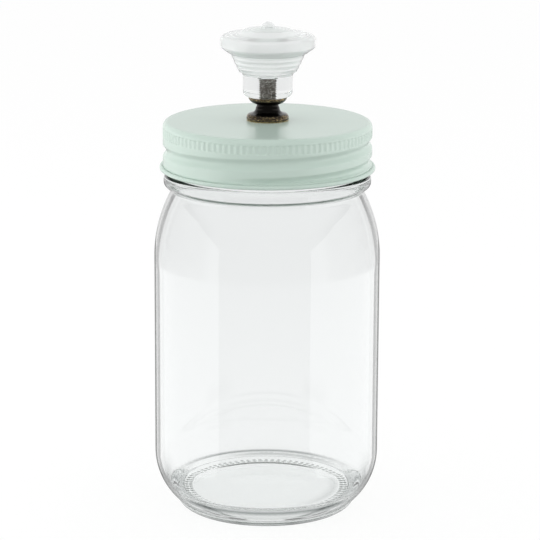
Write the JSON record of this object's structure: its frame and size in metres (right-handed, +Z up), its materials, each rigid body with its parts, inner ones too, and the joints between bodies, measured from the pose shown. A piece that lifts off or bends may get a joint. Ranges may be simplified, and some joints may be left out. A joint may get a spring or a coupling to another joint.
{
  "type": "storage jar",
  "caption": "Round clear glass storage jar with a screw-on painted metal lid and a clear glass knob on a metal ferrule.",
  "frame": {"origin": "centre of the bearing ring under the jar, on the surface that it stands on", "axes": "+Z up along the jar's axis through the lid and knob; -Y towards the picture's viewer, +X to the viewer's right"},
  "size_m": [0.0784, 0.0784, 0.1716],
  "materials": {
    "jar_glass": "clear, fire polished",
    "knob_glass": "clear, pressed",
    "painted_tinplate": "pale mint stoving enamel, satin",
    "sealing_compound": "matt flowed-in compound",
    "antique_brass": "dark antique patina with rubbed edges",
    "plated_steel": "zinc plated"
  },
  "bodies": {
    "jar": {"jar_body": "jar_glass"},
    "seal": {"seal_ring": "sealing_compound"},
    "washer": {"flat_washer": "plated_steel"},
    "lid": {"lid_shell": "painted_tinplate", "knob_ferrule": "antique_brass", "knob_glass": "knob_glass", "knob_stud": "plated_steel", "lock_washer": "plated_steel", "hex_nut": "plated_steel"}
  },
  "joints": [
    {"name": "lid_lift", "type": "slide", "parent": "jar", "child": "seal", "axis": [0, 0, 1], "range_m": [0, 0.12]},
    {"name": "lid_rise", "type": "slide", "parent": "seal", "child": "washer", "axis": [0, 0, 1], "range_m": [0, 0.009]},
    {"name": "lid_turn", "type": "hinge", "parent": "washer", "child": "lid", "pos_m": [0, 0, 0.1363], "axis": [0, 0, 1], "range_deg": [0, 510]}
  ],
  "couplings": [
    {"joint": "lid_rise", "follows": "lid_turn", "m_per_rad": 0.0010106}
  ]
}
